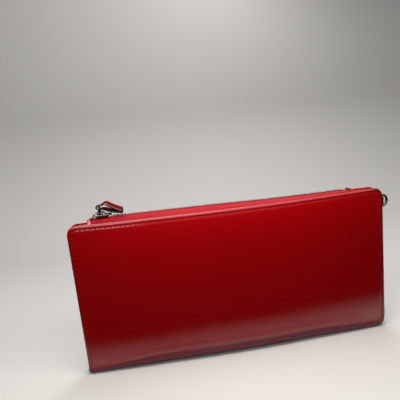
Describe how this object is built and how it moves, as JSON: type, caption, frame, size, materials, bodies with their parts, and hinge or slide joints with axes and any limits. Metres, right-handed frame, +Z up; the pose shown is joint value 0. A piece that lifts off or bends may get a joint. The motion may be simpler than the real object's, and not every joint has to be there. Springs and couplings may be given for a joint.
{
  "type": "zip wallet",
  "caption": "Long slim leather wallet, folded at the bottom, with a zipped top mouth, leather zip pull, card pockets and an inner zipped coin pocket.",
  "frame": {"origin": "middle of the flat underside of the bottom fold, on the ground", "axes": "+X along the length towards the side ring, +Y from the front cover to the back cover, +Z up to the zip"},
  "size_m": [0.2059, 0.019, 0.1068],
  "materials": {
    "red_leather": "smooth polished, glossy",
    "dark_leather": "smooth, satin",
    "tab_leather": "smooth, dark painted edges",
    "pocket_leather": "fine grain, satin",
    "lining_fabric": "fine plain weave",
    "board": "matt sheet",
    "zip_tape": "herringbone woven tape",
    "zip_metal": "satin nickel",
    "slider_metal": "polished nickel"
  },
  "bodies": {
    "back_cover": {"outer_back_panel": "red_leather", "back_stiffener_board": "board", "back_lining": "lining_fabric", "back_card_backing": "pocket_leather", "back_card_pocket_top": "pocket_leather", "back_card_pocket_middle": "pocket_leather", "back_card_pocket_bottom": "pocket_leather", "back_zip_tape": "zip_tape", "back_zip_teeth": "zip_metal", "back_zip_top_stop": "zip_metal", "spine_fold": "red_leather", "left_gusset": "dark_leather", "right_gusset": "dark_leather", "zip_bottom_stop": "zip_metal", "ring_keeper": "tab_leather", "coin_front_wall": "lining_fabric", "coin_back_wall": "lining_fabric", "coin_front_tape": "zip_tape", "coin_back_tape": "zip_tape", "coin_front_teeth": "zip_metal", "coin_back_teeth": "zip_metal"},
    "front_cover": {"outer_front_panel": "red_leather", "front_stiffener_board": "board", "front_lining": "lining_fabric", "front_card_backing": "pocket_leather", "front_card_pocket_top": "pocket_leather", "front_card_pocket_middle": "pocket_leather", "front_card_pocket_bottom": "pocket_leather", "front_zip_tape": "zip_tape", "front_zip_teeth": "zip_metal", "front_zip_top_stop": "zip_metal"},
    "zip_slider": {"slider_body": "slider_metal", "slider_bail": "slider_metal"},
    "pull_link": {"pull_link": "slider_metal"},
    "pull_tab": {"pull_tab": "tab_leather"},
    "coin_slider": {"coin_slider": "slider_metal"},
    "coin_pull": {"coin_pull": "slider_metal"},
    "side_ring": {"side_ring": "slider_metal"}
  },
  "joints": [
    {"name": "zip_slide", "type": "slide", "parent": "back_cover", "child": "zip_slider", "axis": [1, 0, -0.0087], "range_m": [0, 0.15]},
    {"name": "cover_open", "type": "hinge", "parent": "back_cover", "child": "front_cover", "pos_m": [0, -0.0095, 0.008], "axis": [1, 0, 0], "range_deg": [0, 34], "deforming": ["left_gusset", "right_gusset", "front_zip_teeth", "back_zip_teeth"]},
    {"name": "pull_link_swing", "type": "hinge", "parent": "zip_slider", "child": "pull_link", "pos_m": [-0.07917, 0, 0.09991], "axis": [0, 1, 0], "range_deg": [-45, 5]},
    {"name": "pull_tab_swing", "type": "hinge", "parent": "pull_link", "child": "pull_tab", "pos_m": [-0.07977, 0, 0.10346], "axis": [0, 1, 0], "range_deg": [-120, 0]},
    {"name": "side_ring_swing", "type": "hinge", "parent": "back_cover", "child": "side_ring", "pos_m": [0.1013, 0, 0.0855], "axis": [0, 0, 1], "range_deg": [-80, 80]},
    {"name": "coin_zip_slide", "type": "slide", "parent": "back_cover", "child": "coin_slider", "axis": [1, 0, 0], "range_m": [0, 0.108], "deforming": ["coin_front_teeth", "coin_back_teeth"]},
    {"name": "coin_pull_swing", "type": "hinge", "parent": "coin_slider", "child": "coin_pull", "pos_m": [-0.054, 0, 0.08295], "axis": [0, 1, 0], "range_deg": [-150, 0]}
  ],
  "couplings": [
    {"joint": "cover_open", "follows": "zip_slide", "rad_per_m": 3.9557}
  ]
}
